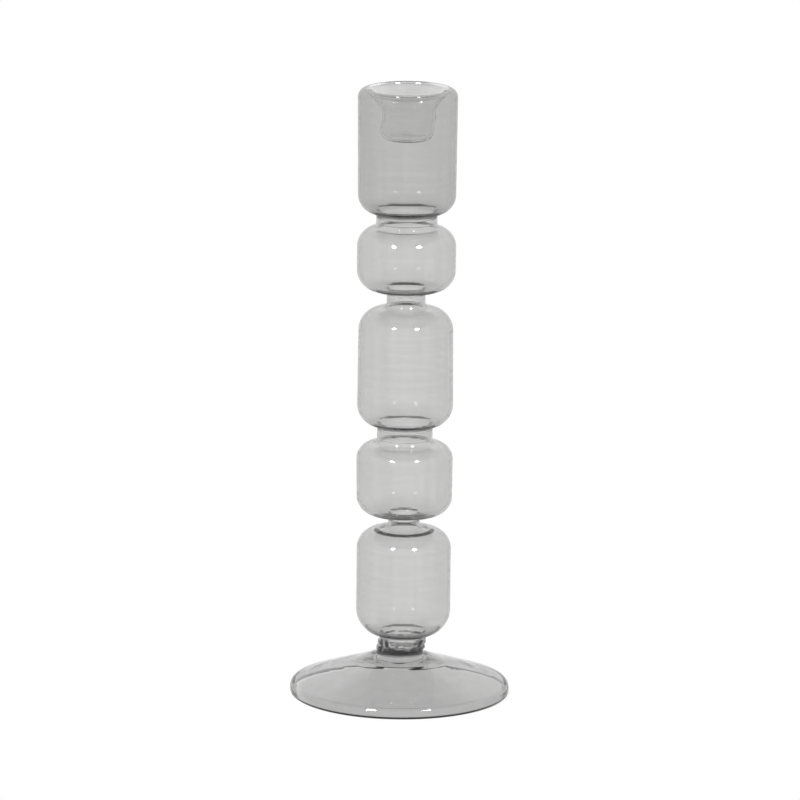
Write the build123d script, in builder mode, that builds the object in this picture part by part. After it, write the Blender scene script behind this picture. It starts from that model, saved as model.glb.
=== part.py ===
# Smoked-glass candlestick, worked hot on a glass lathe: a stem of five sealed hollow
# bulbs joined by narrow necks, on a low domed foot, with a candle cup sunk into the
# crown of the top bulb. Millimetres, +Z up, origin at the centre of the foot's rest.
import math
import os

from build123d import *

os.makedirs("parts", exist_ok=True)

# Driving dimensions
overall_height = 300.0
wall = 1.3                      # thickness of the blown stem tube
neck_fillet = 1.5               # concave round where a neck meets the base of a bulb
flare_round = 2.5               # wider round where a neck flares into the shoulder below it
flare = 2.2                     # height of that flare
shoulder_slope = 10.0           # degrees that a bulb's shoulder rises towards its neck

foot_radius = 53.6
rim_height = 5.0                # the foot's edge rounds over and down to a lip that it stands on
rim_round = 2.9
lip_inside = 51.6
lip_outer_round = 1.2
lip_inner_round = 0.45
under_rim = (51.9, 4.0)         # the dome's underside turns down to the lip here
under_rim_round = 1.8
dome_edge = (30.5, 12.8)        # the dome runs straight from here out to its rim
dome_middle = (22.0, 15.8)
dome_under = (29.5, 11.8)       # underside opposite the edge of the straight run
dome_top = 19.6                 # where the dome meets the round of its crown
crown_under = (13.0, 17.6)      # the hollow rises from here up into the crown
crown_roof = (9.0, 20.4)
crown_round = 1.7
crown_fillet = 2.2

weld_radius = 11.3
weld_bottom = 21.4              # the foot ends here and the weld begins
weld_well_radius = 9.2          # the stem's hollow runs down into the weld
weld_well_bottom = 22.2
weld_well_chamfer = 1.0
weld_ridge_round = 6.0
weld_waist_depth = 0.3

# Stem: the heights where each bulb's base and top shoulders meet its necks
lowest_base, lowest_top = 29.0, 83.4
lower_base, lower_top = 88.5, 125.5
middle_base, middle_top = 133.7, 192.8
upper_base, upper_top = 200.6, 232.3
top_base = 238.8

narrow_neck = 7.7
middle_neck = 9.4
lower_wide_neck = 13.5
upper_wide_neck = 14.8

top_belly = 24.2
top_belly_low = 23.7
top_base_round = 9.0
top_round = 4.1                 # round of the rim, from the bulb's wall over to its crest
crest_radius = 20.0             # ring along the rim, where the cup turns down
candle_bore = 11.25             # radius of the straight grip, for a 22 mm dinner candle
funnel_foot = 289.5             # the flared mouth narrows to the bore here
bore_bottom = 279.5
cup_floor = 276.3
cup_wall = 1.2


# Foot: a thin shallow dome, hollow underneath, whose edge rounds over and down to a lip
with BuildPart() as foot:
    with BuildSketch(Plane.XZ):
        with BuildLine():
            edge = FilletPolyline(
                dome_edge,
                (foot_radius, rim_height),
                (foot_radius, 0),
                (lip_inside, 0),
                under_rim,
                dome_under,
                radius=(rim_round, lip_outer_round, lip_inner_round, under_rim_round),
            )
            dome_side = ThreePointArc(edge @ 0, dome_middle, (weld_radius + crown_round, dome_top))
            crown = RadiusArc(dome_side @ 1, (weld_radius, weld_bottom), crown_fillet)
            Polyline(
                crown @ 1,
                (0, weld_bottom),
                (0, crown_roof[1]),
                crown_roof,
                crown_under,
                edge @ 1,
            )
        make_face()
    revolve(axis=Axis.Z)

foot.part.label = "foot"
export_step(foot.part, "parts/foot.step")


# Weld: thick collar that closes the stem and fuses it to the crown of the foot
weld_top = lowest_base - neck_fillet

with BuildPart() as foot_weld:
    with BuildSketch(Plane.XZ):
        with BuildLine():
            well = Polyline(
                (weld_radius - wall, weld_top),
                (weld_well_radius, weld_well_bottom + weld_well_chamfer),
                (weld_well_radius - weld_well_chamfer, weld_well_bottom),
                (0, weld_well_bottom),
                (0, weld_bottom),
                (weld_radius, weld_bottom),
            )
            weld_waist = (weld_radius - weld_waist_depth, (weld_bottom + weld_top) / 2)
            lower_ridge = RadiusArc(well @ 1, weld_waist, weld_ridge_round)
            upper_ridge = RadiusArc(weld_waist, (weld_radius, weld_top), weld_ridge_round)
            Line(upper_ridge @ 1, well @ 0)
        make_face()
    revolve(axis=Axis.Z)

foot_weld.part.label = "foot_weld"
export_step(foot_weld.part, "parts/foot_weld.step")


# Bulbs: each is blown from the stem tube and ends in a short stub of neck above and below
def blow_bulb(name, base, low_neck, low_belly, low_round, top, high_neck, high_belly, high_round,
              base_slope=shoulder_slope):
    low_rise = (low_belly - low_neck) * math.tan(math.radians(base_slope))
    high_fall = (high_belly - high_neck) * math.tan(math.radians(shoulder_slope))
    with BuildPart() as bulb:
        with BuildSketch(Plane.XZ):
            with BuildLine():
                FilletPolyline(
                    (low_neck, base - neck_fillet),
                    (low_neck, base),
                    (low_belly, base + low_rise),
                    (high_belly, top - high_fall),
                    (high_neck, top),
                    (high_neck, top + flare),
                    radius=(neck_fillet, low_round, high_round, flare_round),
                )
                offset(amount=wall, side=Side.LEFT)
            make_face()
        revolve(axis=Axis.Z)
    bulb.part.label = name
    export_step(bulb.part, f"parts/{name}.step")


blow_bulb("lowest_bulb", lowest_base, weld_radius, 23.0, 12.7, lowest_top, narrow_neck, 23.0, 9.7)
blow_bulb("lower_squat_bulb", lower_base, narrow_neck, 23.2, 8.5, lower_top, lower_wide_neck, 23.5, 7.6)
blow_bulb("middle_bulb", middle_base, lower_wide_neck, 23.4, 10.4, middle_top, middle_neck, 22.9, 10.5)
blow_bulb("upper_squat_bulb", upper_base, middle_neck, 23.9, 10.0, upper_top, upper_wide_neck, 24.0, 9.5,
          base_slope=4.0)


# Necks: short straight stretches of the stem tube between one bulb and the next
def draw_neck(name, radius, bulb_below_top, bulb_above_base):
    start = bulb_below_top + flare
    length = bulb_above_base - neck_fillet - start
    with BuildPart() as neck:
        with BuildSketch(Plane.XY.offset(start)):
            Circle(radius)
            Circle(radius - wall, mode=Mode.SUBTRACT)
        extrude(amount=length)
    neck.part.label = name
    export_step(neck.part, f"parts/{name}.step")


draw_neck("lowest_neck", narrow_neck, lowest_top, lower_base)
draw_neck("lower_neck", lower_wide_neck, lower_top, middle_base)
draw_neck("upper_neck", middle_neck, middle_top, upper_base)
draw_neck("highest_neck", upper_wide_neck, upper_top, top_base)


# Top bulb: its wall runs up and over to a rounded rim, where it meets the candle cup
top_rise = (top_belly_low - upper_wide_neck) * math.tan(math.radians(shoulder_slope))

with BuildPart() as top_bulb:
    with BuildSketch(Plane.XZ):
        with BuildLine():
            FilletPolyline(
                (upper_wide_neck, top_base - neck_fillet),
                (upper_wide_neck, top_base),
                (top_belly_low, top_base + top_rise),
                (top_belly, overall_height),
                (crest_radius, overall_height),
                radius=(neck_fillet, top_base_round, top_round),
            )
            offset(amount=wall, side=Side.LEFT)
        make_face()
    revolve(axis=Axis.Z)

top_bulb.part.label = "top_bulb"
export_step(top_bulb.part, "parts/top_bulb.step")


# Candle cup: a blind tube sunk into the top bulb, its flared mouth fused round the rim
with BuildPart() as candle_cup:
    with BuildSketch(Plane.XZ):
        with BuildLine():
            FilletPolyline(
                (crest_radius, overall_height),
                (crest_radius - 1.6, overall_height),
                (candle_bore, funnel_foot),
                (candle_bore, bore_bottom),
                (candle_bore + 0.5, cup_floor),
                (0, cup_floor),
                radius=(2.6, 3.5, 4.0, 2.5),
            )
            offset(amount=cup_wall, side=Side.LEFT)
        make_face()
    revolve(axis=Axis.Z)

candle_cup.part.label = "candle_cup"
export_step(candle_cup.part, "parts/candle_cup.step")
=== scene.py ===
import math

import bpy
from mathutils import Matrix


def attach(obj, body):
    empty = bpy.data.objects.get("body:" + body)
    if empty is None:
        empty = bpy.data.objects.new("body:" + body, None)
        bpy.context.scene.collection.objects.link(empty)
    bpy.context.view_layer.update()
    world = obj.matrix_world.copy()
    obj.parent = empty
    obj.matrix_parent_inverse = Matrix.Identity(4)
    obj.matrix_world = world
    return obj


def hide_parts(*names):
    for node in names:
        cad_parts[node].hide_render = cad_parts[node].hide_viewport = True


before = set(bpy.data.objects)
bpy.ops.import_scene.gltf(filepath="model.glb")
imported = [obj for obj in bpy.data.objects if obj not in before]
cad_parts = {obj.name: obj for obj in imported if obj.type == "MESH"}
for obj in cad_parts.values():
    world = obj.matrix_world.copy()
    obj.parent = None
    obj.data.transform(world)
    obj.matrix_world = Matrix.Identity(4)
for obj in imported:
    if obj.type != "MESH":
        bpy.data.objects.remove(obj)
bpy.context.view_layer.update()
bpy.ops.object.select_all(action="DESELECT")


# ---- Foot --------------------------------------------------------------------------------
# A thin low dome of smoke-grey glass, spun out on the lathe and left thicker in the crown.
# It is hollow underneath, and its edge was turned down hot to the lip that it stands on.

MM = 0.001
TURNS = 144


def draw_outline(name, corners):
    """Draws half a section as (radius, height, round) corners in mm, then rounds each corner."""
    first = corners[0]
    bpy.ops.mesh.primitive_plane_add(size=MM, location=(first[0] * MM, 0, first[1] * MM))
    piece = bpy.context.object
    piece.name = name
    bpy.ops.object.transform_apply(location=True, rotation=False, scale=False)
    bpy.ops.object.mode_set(mode="EDIT")
    bpy.ops.mesh.select_mode(type="VERT")
    bpy.ops.mesh.select_all(action="SELECT")
    bpy.ops.mesh.merge(type="CENTER")
    for here, there in zip(corners, corners[1:]):
        step = ((there[0] - here[0]) * MM, 0, (there[1] - here[1]) * MM)
        bpy.ops.mesh.extrude_region_move(TRANSFORM_OT_translate={"value": step})
    for before, corner, after in zip(corners, corners[1:], corners[2:]):
        if corner[2]:
            melt_corner(piece, before, corner, after)
    bpy.ops.object.mode_set(mode="OBJECT")
    return piece


def melt_corner(piece, before, corner, after):
    """Rounds one corner of the outline to the radius that it is given."""
    way_in = math.atan2(corner[1] - before[1], corner[0] - before[0])
    way_out = math.atan2(after[1] - corner[1], after[0] - corner[0])
    turn = abs((way_out - way_in + math.pi) % (2 * math.pi) - math.pi)
    pick(piece, lambda x, y, z: math.hypot(x - corner[0] * MM, z - corner[1] * MM) < 1e-6)
    bpy.ops.mesh.bevel(affect="VERTICES", offset_type="OFFSET", clamp_overlap=False,
                       offset=corner[2] * MM * math.tan(turn / 2),
                       segments=max(3, round(turn * 8)))


def pick(piece, wanted):
    """Selects the vertices of a piece that stand where the test says, and stays in edit mode."""
    bpy.ops.object.mode_set(mode="OBJECT")
    for part in (piece.data.vertices, piece.data.edges, piece.data.polygons):
        part.foreach_set("select", [False] * len(part))
    for vertex in piece.data.vertices:
        vertex.select = wanted(*vertex.co)
    bpy.ops.object.mode_set(mode="EDIT")
    bpy.ops.mesh.select_mode(type="VERT")


def divide_long_runs(piece, longest):
    """Cuts the straight stretches of the outline into short steps, so that they can waver."""
    for cuts in (7, 1, 1):
        bpy.ops.object.mode_set(mode="OBJECT")
        mesh = piece.data
        for part in (mesh.vertices, mesh.edges):
            part.foreach_set("select", [False] * len(part))
        limit = longest * (cuts + 1) * MM if cuts > 1 else longest * MM
        for edge in mesh.edges:
            start, end = (mesh.vertices[index].co for index in edge.vertices)
            edge.select = (end - start).length > limit
        bpy.ops.object.mode_set(mode="EDIT")
        bpy.ops.mesh.select_mode(type="EDGE")
        if any(edge.select for edge in mesh.edges):
            bpy.ops.mesh.subdivide(number_cuts=cuts)
    bpy.ops.object.mode_set(mode="OBJECT")


def turn_on_lathe(piece):
    """Spins the outline once round the upright axis and closes the seam and the poles."""
    bpy.ops.object.mode_set(mode="EDIT")
    bpy.ops.mesh.select_mode(type="VERT")
    bpy.ops.mesh.select_all(action="SELECT")
    bpy.ops.mesh.spin(steps=TURNS, angle=2 * math.pi, center=(0, 0, 0), axis=(0, 0, 1))
    bpy.ops.mesh.select_all(action="SELECT")
    bpy.ops.mesh.remove_doubles(threshold=2e-6)
    bpy.ops.mesh.normals_make_consistent(inside=False)
    bpy.ops.object.mode_set(mode="OBJECT")


def add_remap(nodes, from_min, from_max, to_min, to_max):
    """A Map Range node that turns one span of values into another."""
    remap = nodes.new("ShaderNodeMapRange")
    remap.inputs["From Min"].default_value = from_min
    remap.inputs["From Max"].default_value = from_max
    remap.inputs["To Min"].default_value = to_min
    remap.inputs["To Max"].default_value = to_max
    return remap


def add_noise(nodes, scale, detail):
    """A Noise Texture node of the given size and fineness."""
    noise = nodes.new("ShaderNodeTexNoise")
    noise.inputs["Scale"].default_value = scale
    noise.inputs["Detail"].default_value = detail
    return noise


def add_math(nodes, operation):
    """A Math node for one operation on two values."""
    maths = nodes.new("ShaderNodeMath")
    maths.operation = operation
    return maths


def smoke_glass(name, smoke_density, ring_strength, melt_strength, melt_scale=60.0,
                painted_edge_shade_level=0.02, painted_contact_shade_below=None):
    """Smoke-grey glass, darker the deeper the light goes through it, with faint turning rings.

    painted_edge_shade_level is the painted shade that a wall seen edge on is darkened to, and
    painted_contact_shade_below is the height in mm under which a standing edge is painted dark.
    """
    material = bpy.data.materials.new(name)
    material.use_nodes = True
    nodes, links = material.node_tree.nodes, material.node_tree.links
    glass = nodes["Principled BSDF"]
    glass.inputs["Transmission Weight"].default_value = 1.0
    glass.inputs["IOR"].default_value = 1.474
    place = nodes.new("ShaderNodeTexCoord")

    # the smoke is in the melt itself, so it takes light off along the whole way through
    smoke = nodes.new("ShaderNodeVolumeAbsorption")
    smoke.inputs["Color"].default_value = (0.012, 0.008, 0.0, 1)
    smoke.inputs["Density"].default_value = smoke_density
    links.new(smoke.outputs["Volume"], nodes["Material Output"].inputs["Volume"])

    # its tone varies in level rings from the turning; the soft upright bands laid over it are a
    # painted reflection
    flatten = nodes.new("ShaderNodeMapping")
    flatten.inputs["Scale"].default_value = (6.0, 6.0, 420.0)
    rings = add_noise(nodes, 1.0, 2.0)
    painted_band_stretch = nodes.new("ShaderNodeMapping")
    painted_band_stretch.inputs["Scale"].default_value = (170.0, 170.0, 9.0)
    painted_reflection_bands = add_noise(nodes, 1.0, 1.0)
    gather = add_math(nodes, "ADD")
    ring_tone_and_painted_bands = add_remap(nodes, 0.7, 1.3, 0.94, 1.0)
    links.new(place.outputs["Object"], flatten.inputs["Vector"])
    links.new(place.outputs["Object"], painted_band_stretch.inputs["Vector"])
    links.new(flatten.outputs["Vector"], rings.inputs["Vector"])
    links.new(painted_band_stretch.outputs["Vector"], painted_reflection_bands.inputs["Vector"])
    links.new(rings.outputs["Fac"], gather.inputs[0])
    links.new(painted_reflection_bands.outputs["Fac"], gather.inputs[1])
    links.new(gather.outputs["Value"], ring_tone_and_painted_bands.inputs["Value"])

    # painted shade: where a wall is seen edge on, its colour is darkened, standing in for the light
    # led away inside the glass
    edge_on = nodes.new("ShaderNodeLayerWeight")
    painted_edge_shade = add_remap(nodes, 0.75, 0.94, 1.0, painted_edge_shade_level)
    through = add_math(nodes, "MULTIPLY")
    links.new(edge_on.outputs["Facing"], painted_edge_shade.inputs["Value"])
    links.new(ring_tone_and_painted_bands.outputs["Result"], through.inputs[0])
    links.new(painted_edge_shade.outputs["Result"], through.inputs[1])
    links.new(through.outputs["Value"], glass.inputs["Base Color"])

    if painted_contact_shade_below is not None:
        # painted shade: the end of the sheet that stands on the table is painted dark below the
        # given height, as a dark line along where it meets the table
        level = nodes.new("ShaderNodeSeparateXYZ")
        painted_contact_shade = add_remap(nodes, painted_contact_shade_below * MM, (painted_contact_shade_below + 0.3) * MM, 0.01, 1.0)
        tint_with_contact_shade = add_math(nodes, "MULTIPLY")
        links.new(place.outputs["Object"], level.inputs["Vector"])
        links.new(level.outputs["Z"], painted_contact_shade.inputs["Value"])
        links.new(through.outputs["Value"], tint_with_contact_shade.inputs[0])
        links.new(painted_contact_shade.outputs["Result"], tint_with_contact_shade.inputs[1])
        links.new(tint_with_contact_shade.outputs["Value"], glass.inputs["Base Color"])

    # handling marks dull the polish very slightly in patches
    marks = add_noise(nodes, 90.0, 2.0)
    polish = add_remap(nodes, 0.45, 0.75, 0.0, 0.03)
    links.new(place.outputs["Object"], marks.inputs["Vector"])
    links.new(marks.outputs["Fac"], polish.inputs["Value"])
    links.new(polish.outputs["Result"], glass.inputs["Roughness"])

    # the rings can be felt too, and hot glass leaves the surface slowly wavy
    ring_bump = nodes.new("ShaderNodeBump")
    ring_bump.inputs["Strength"].default_value = ring_strength
    ring_bump.inputs["Distance"].default_value = 0.001
    links.new(rings.outputs["Fac"], ring_bump.inputs["Height"])
    melt = add_noise(nodes, melt_scale, 1.0)
    melt_bump = nodes.new("ShaderNodeBump")
    melt_bump.inputs["Strength"].default_value = melt_strength
    melt_bump.inputs["Distance"].default_value = 0.004
    links.new(place.outputs["Object"], melt.inputs["Vector"])
    links.new(melt.outputs["Fac"], melt_bump.inputs["Height"])
    links.new(ring_bump.outputs["Normal"], melt_bump.inputs["Normal"])
    links.new(melt_bump.outputs["Normal"], glass.inputs["Normal"])
    return material


def finish_piece(piece, glass):
    """Gives a piece its glass and a smooth skin, and sets it in its place in the frame."""
    piece.data.materials.append(glass)
    bpy.ops.object.select_all(action="DESELECT")
    piece.select_set(True)
    bpy.context.view_layer.objects.active = piece
    bpy.ops.object.shade_smooth_by_angle(angle=math.radians(50))
    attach(piece, "root")
    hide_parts(piece.name.removesuffix("_glass"))


SMOKE = 205.0                 # density of the smoke in this glass, for each metre
HAIR = 0.01                   # each section stops this far short of its seams, in mm
foot_aside = -1.5             # the foot was fused this far off the line of the stem, in mm


def set_aside(piece, share):
    """Moves each level of a piece sideways by its share of the foot's offset."""
    for vertex in piece.data.vertices:
        vertex.co.x += foot_aside * MM * share(vertex.co.z / MM)


weld_radius = 11.3
weld_bottom = 21.4
foot_radius = 53.6
lip_inside = 51.6
crown_under = 20.4
foot_top = weld_bottom - HAIR

foot = draw_outline("foot_glass", [
    (0, foot_top, 0),
    (weld_radius, foot_top, 0),
    (weld_radius, 20.2, 1.7),
    (22.0, 15.9, 50),
    (foot_radius, 5.0, 2.9),
    (foot_radius, 0, 1.2),
    (lip_inside, 0, 0.45),
    (lip_inside + 0.3, 4.0, 1.8),
    (13.0, 17.6, 8),
    (9.0, crown_under, 2),
    (0, crown_under, 0),
])
divide_long_runs(foot, 1.6)
turn_on_lathe(foot)
set_aside(foot, lambda height: 1.0)
# the foot's glass is painted only lightly darker where seen edge on, and painted dark along the
# bottom of its standing edge
foot_glass = smoke_glass("foot_smoke_glass", smoke_density=SMOKE, ring_strength=0.1,
                         melt_strength=0.03, painted_edge_shade_level=0.9, painted_contact_shade_below=0.9)
finish_piece(foot, foot_glass)


# ---- Foot weld ---------------------------------------------------------------------------
# The thick collar where the stem was pressed hot onto the crown of the foot. It closes the
# bottom of the hollow stem, and its uneven ridges are left from the flame.

weld_top = 27.5
well_bottom = 22.2
wall = 1.15
weld_bore = weld_radius - wall


def waver(piece, name, size, strength, low, high):
    """Lets hot glass run a little unevenly between two heights and leaves the ends true."""
    ripple = bpy.data.textures.new(name, type="CLOUDS")
    ripple.noise_scale = size * MM
    ripple.noise_depth = 1
    zone = piece.vertex_groups.new(name="soft_glass")
    for vertex in piece.data.vertices:
        height = vertex.co.z / MM
        inside = min(1.0, max(0.0, min(height - low, high - height)) / 2.0)
        zone.add([vertex.index], inside, "REPLACE")
    modifier = piece.modifiers.new("waver", "DISPLACE")
    modifier.texture = ripple
    modifier.texture_coords = "LOCAL"
    modifier.vertex_group = "soft_glass"
    modifier.mid_level = 0.5
    modifier.strength = strength * MM
    bpy.context.view_layer.objects.active = piece
    bpy.ops.object.modifier_apply(modifier="waver")


weld_foot, weld_crown = weld_bottom + HAIR, weld_top - HAIR
foot_weld = draw_outline("foot_weld_glass", [
    (0, weld_foot, 0),
    (weld_radius, weld_foot, 0),
    (weld_radius + 0.5, 22.6, 0.8),
    (weld_radius - 0.5, 24.2, 1.0),
    (weld_radius + 0.4, 25.6, 0.8),
    (weld_radius, 27.0, 0.6),
    (weld_radius, weld_crown, 0),
    (weld_bore, weld_crown, 0),
    (9.6, 25.0, 1.0),
    (9.2, well_bottom, 1.5),
    (0, well_bottom, 0),
])
divide_long_runs(foot_weld, 0.6)
turn_on_lathe(foot_weld)
waver(foot_weld, "weld_ripple", 5.0, 1.4, weld_bottom, weld_top)
set_aside(foot_weld, lambda height: (weld_top - height) / (weld_top - weld_bottom))
weld_glass = smoke_glass("weld_smoke_glass", smoke_density=SMOKE * 0.9, ring_strength=0.1,
                         melt_strength=0.5, melt_scale=220.0)
finish_piece(foot_weld, weld_glass)


# ---- Bulbs -------------------------------------------------------------------------------
# Each bulb was blown out of the stem tube between two narrowed necks while the tube turned
# in the flame. The glass is a thin even skin, and the bulb is sealed with air inside.

neck_fillet, flare_round, flare = 1.5, 2.5, 2.2
base_round, shoulder_slope = 0.9, 10.0
base_gather, base_spread = 0.5, 1.2
shoulder_drop, shoulder_spread = 0.8, 0.25

# outer radii of the four necks, and the height of each bulb's base and top
lowest_neck, lower_neck, upper_neck, highest_neck = 7.7, 13.5, 9.4, 14.8
lowest_base, lowest_top = 29.0, 83.4
lower_squat_base, lower_squat_top = 88.5, 125.5
middle_base, middle_top = 133.7, 192.8
upper_squat_base, upper_squat_top = 200.6, 232.3
top_base = 238.8

blown_glass = smoke_glass("blown_smoke_glass", smoke_density=SMOKE, ring_strength=0.15,
                          melt_strength=0.008)


def thicken(piece, thickness, gathers=()):
    """Gives the outer skin its wall, inwards. A gather is extra glass: (height, amount, spread)."""
    thickest = thickness + sum(gather[1] for gather in gathers)
    skin = piece.vertex_groups.new(name="wall")
    for vertex in piece.data.vertices:
        here = thickness
        for height, amount, spread in gathers:
            here += amount * math.exp(-((vertex.co.z / MM - height) / spread) ** 2)
        skin.add([vertex.index], here / thickest, "REPLACE")
    modifier = piece.modifiers.new("wall", "SOLIDIFY")
    modifier.thickness = thickest * MM
    modifier.vertex_group = "wall"
    modifier.offset = -1.0
    modifier.use_even_offset = True
    modifier.use_rim = True
    bpy.context.view_layer.objects.active = piece
    bpy.ops.object.modifier_apply(modifier="wall")


def tube_piece(name, corners, glass, longest=1.6, ripple=0.08, gathers=()):
    """Turns a thin-walled section of the stem from its outer outline, foot end first."""
    piece = draw_outline(name, corners)
    divide_long_runs(piece, longest)
    turn_on_lathe(piece)
    low, high = corners[0][1], corners[-1][1]
    if ripple:
        waver(piece, name + "_ripple", 26.0, ripple, low + neck_fillet, high - neck_fillet)
    thicken(piece, wall, gathers)
    finish_piece(piece, glass)


def slope_height(belly, neck, slope):
    """How far a bulb's end rises between its neck and its belly."""
    return (belly - neck) * math.tan(math.radians(slope))


def blow_bulb(name, base, low_neck, low_belly, low_round, top, high_neck, high_belly, high_round,
              base_slope=shoulder_slope, shoulder_gather=0.0):
    """Blows one sealed bulb between two necks, from its base to its top."""
    low_rise = slope_height(low_belly, low_neck, base_slope)
    high_fall = slope_height(high_belly, high_neck, shoulder_slope)
    tube_piece(name, [
        (low_neck, base - neck_fillet + HAIR, 0),
        (low_neck, base, base_round),
        (low_belly, base + low_rise, low_round),
        (high_belly, top - high_fall, high_round),
        (high_neck, top, flare_round),
        (high_neck, top + flare - HAIR, 0),
    ], blown_glass, gathers=[(base, base_gather, base_spread),
                             (top - shoulder_drop, shoulder_gather, shoulder_spread)])


blow_bulb("lowest_bulb_glass", lowest_base, weld_radius, 23.0, 12.7,
          lowest_top, lowest_neck, 23.0, 9.7, shoulder_gather=0.7)
blow_bulb("lower_squat_bulb_glass", lower_squat_base, lowest_neck, 23.2, 8.5,
          lower_squat_top, lower_neck, 23.5, 7.6)
blow_bulb("middle_bulb_glass", middle_base, lower_neck, 23.4, 10.4,
          middle_top, upper_neck, 22.9, 10.5)
blow_bulb("upper_squat_bulb_glass", upper_squat_base, upper_neck, 23.9, 10.0,
          upper_squat_top, highest_neck, 24.0, 9.5, base_slope=4.0)


# ---- Necks -------------------------------------------------------------------------------
# Between the bulbs the tube was pinched in and drawn to short straight necks, two narrow and
# two wide, which carry on into the shoulders above and below without a joint.

neck_glass = smoke_glass("neck_smoke_glass", smoke_density=SMOKE, ring_strength=0.15,
                         melt_strength=0.05)


def draw_neck(name, radius, bulb_below_top, bulb_above_base):
    """Draws one straight neck between the flare below it and the fillet above it."""
    start = bulb_below_top + flare + HAIR
    end = bulb_above_base - neck_fillet - HAIR
    middle = (start + end) / 2
    tube_piece(name, [(radius, start, 0), (radius, middle, 0), (radius, end, 0)],
               neck_glass, longest=0.5, ripple=0.0)


draw_neck("lowest_neck_glass", lowest_neck, lowest_top, lower_squat_base)
draw_neck("lower_neck_glass", lower_neck, lower_squat_top, middle_base)
draw_neck("upper_neck_glass", upper_neck, middle_top, upper_squat_base)
draw_neck("highest_neck_glass", highest_neck, upper_squat_top, top_base)


# ---- Top bulb ----------------------------------------------------------------------------
# The last and tallest bulb. Its wall runs straight up and turns over in a soft round rim,
# where the candle cup was fused to it all the way round.

height = 300.0
crest_radius = 20.0
top_low_belly, top_high_belly = 23.7, 24.2
top_glass = smoke_glass("top_smoke_glass", smoke_density=SMOKE * 1.38, ring_strength=0.15,
                        melt_strength=0.008)
tube_piece("top_bulb_glass", [
    (highest_neck, top_base - neck_fillet + HAIR, 0),
    (highest_neck, top_base, base_round),
    (top_low_belly, top_base + slope_height(top_low_belly, highest_neck, shoulder_slope), 9.0),
    (top_high_belly, height, 4.1),
    (crest_radius + HAIR, height, 0),
], top_glass, gathers=[(top_base, base_gather, base_spread)])


# ---- Candle cup --------------------------------------------------------------------------
# A blind tube let down into the top bulb: a flared mouth, a straight bore that takes a 22 mm
# candle, and a rounded floor. It is clearer glass than the bulb around it.

cup_wall = 1.2
bore_radius = 11.25
cup_bottom = 276.3
neck_slump, floor_slump = 1.2, 0.9
cup_glass = smoke_glass("cup_glass", smoke_density=SMOKE * 0.1, ring_strength=0.1,
                        melt_strength=0.06)
candle_cup = draw_outline("candle_cup_glass", [
    (crest_radius - HAIR, height, 0),
    (18.4, height, 2.6),
    (bore_radius, 289.5, 3.5),
    (bore_radius, 279.5, 4.0),
    (bore_radius + 0.5, cup_bottom, 2.5),
    (0, cup_bottom, 0),
])
divide_long_runs(candle_cup, 1.2)
turn_on_lathe(candle_cup)
for vertex in candle_cup.data.vertices:
    # the soft cup slumped a little: fuller on one side of its neck and on the other of its floor
    side = vertex.co.x / max(1e-6, math.hypot(vertex.co.x, vertex.co.y))
    neck = math.exp(-((vertex.co.z / MM - 287.0) / 3.5) ** 2)
    low_end = math.exp(-((vertex.co.z / MM - 280.0) / 2.5) ** 2)
    vertex.co.x += MM * (neck_slump * neck * max(0.0, side)
                         - floor_slump * low_end * max(0.0, -side))
thicken(candle_cup, cup_wall)
finish_piece(candle_cup, cup_glass)


# ---- Room --------------------------------------------------------------------------------
# A plain white glowing floor, with a painted shadow under the foot, that runs to the horizon under
# an even white surround, darker overhead, with two small soft lamps above and to either side of the
# camera.

floor_radius = 60.0
bpy.ops.mesh.primitive_circle_add(vertices=64, radius=floor_radius, fill_type="NGON")
floor = bpy.context.object
floor.name = "floor"
white_floor = bpy.data.materials.new("white_floor")
white_floor.use_nodes = True
white_floor.node_tree.nodes.clear()

# painted shadow: the glowing floor is dimmed right under the foot, where it would get its light
# through the glass only
paper = white_floor.node_tree
across = paper.nodes.new("ShaderNodeTexCoord")
outwards = paper.nodes.new("ShaderNodeVectorMath")
outwards.operation = "LENGTH"
under = add_remap(paper.nodes, 0.049, 0.0535, 0.68, 1.0)
under.interpolation_type = "SMOOTHSTEP"
glow = paper.nodes.new("ShaderNodeEmission")
surface = paper.nodes.new("ShaderNodeOutputMaterial")
paper.links.new(across.outputs["Object"], outwards.inputs[0])
paper.links.new(outwards.outputs["Value"], under.inputs["Value"])
paper.links.new(under.outputs["Result"], glow.inputs["Color"])
paper.links.new(glow.outputs["Emission"], surface.inputs["Surface"])
floor.data.materials.append(white_floor)

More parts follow.
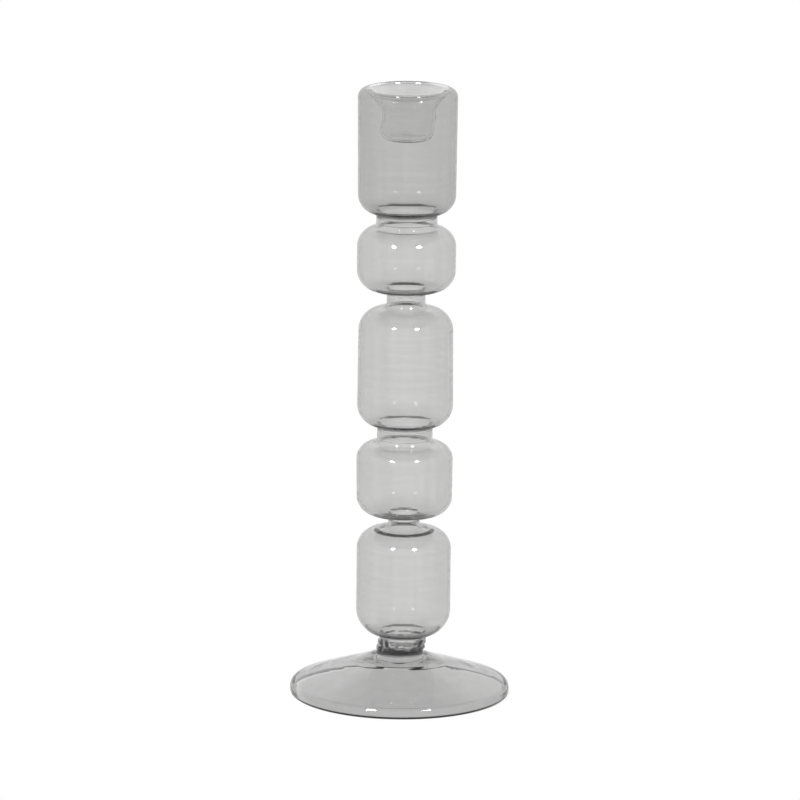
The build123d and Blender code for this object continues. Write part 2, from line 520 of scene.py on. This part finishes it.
world = bpy.data.worlds.new("white_room")
bpy.context.scene.world = world
world.use_nodes = True
sky, joins = world.node_tree.nodes, world.node_tree.links
direction = sky.new("ShaderNodeTexCoord")
parts = sky.new("ShaderNodeSeparateXYZ")
fade = sky.new("ShaderNodeValToRGB")
fade.color_ramp.elements[0].position = 0.60
fade.color_ramp.elements[0].color = (1, 1, 1, 1)
fade.color_ramp.elements[1].position = 0.80
fade.color_ramp.elements[1].color = (0.15, 0.15, 0.15, 1)
joins.new(direction.outputs["Generated"], parts.inputs["Vector"])
joins.new(parts.outputs["Z"], fade.inputs["Fac"])
joins.new(fade.outputs["Color"], sky["Background"].inputs["Color"])
sky["Background"].inputs["Strength"].default_value = 1.0

lamp_away = 2.2
lamp_rise = math.radians(42.0)
aim_height = 0.15
for side in (-1, 1):
    around = math.radians(33.0) * side
    spot = (lamp_away * math.cos(lamp_rise) * math.sin(around),
            -lamp_away * math.cos(lamp_rise) * math.cos(around),
            lamp_away * math.sin(lamp_rise))
    bpy.ops.object.light_add(type="AREA", location=spot)
    lamp = bpy.context.object
    lamp.name = "lamp_left" if side < 0 else "lamp_right"
    lamp.data.shape = "DISK"
    lamp.data.size = 0.34
    lamp.data.energy = 120.0
    aim = math.atan2(math.hypot(spot[0], spot[1]), spot[2] - aim_height)
    lamp.rotation_euler = (aim, 0, math.atan2(spot[1], spot[0]) + math.pi / 2)

camera_away, camera_height, look_height = 3.3, 0.897, 0.1463
camera_aside = -0.0025
camera_lean = math.radians(0.54)
bpy.ops.object.camera_add(location=(camera_aside, -camera_away, camera_height))
camera = bpy.context.object
camera.data.lens = 313.6
camera.data.sensor_width = 36.0
pitch = math.atan2(camera_away, camera_height - look_height)
camera.rotation_euler = (pitch, 0, 0)
camera.rotation_euler.rotate_axis("Z", camera_lean)
bpy.context.scene.camera = camera

scene = bpy.context.scene
scene.view_settings.view_transform = "Standard"
scene.cycles.max_bounces = 32
scene.cycles.transmission_bounces = 32
scene.cycles.transparent_max_bounces = 32
scene.cycles.glossy_bounces = 12
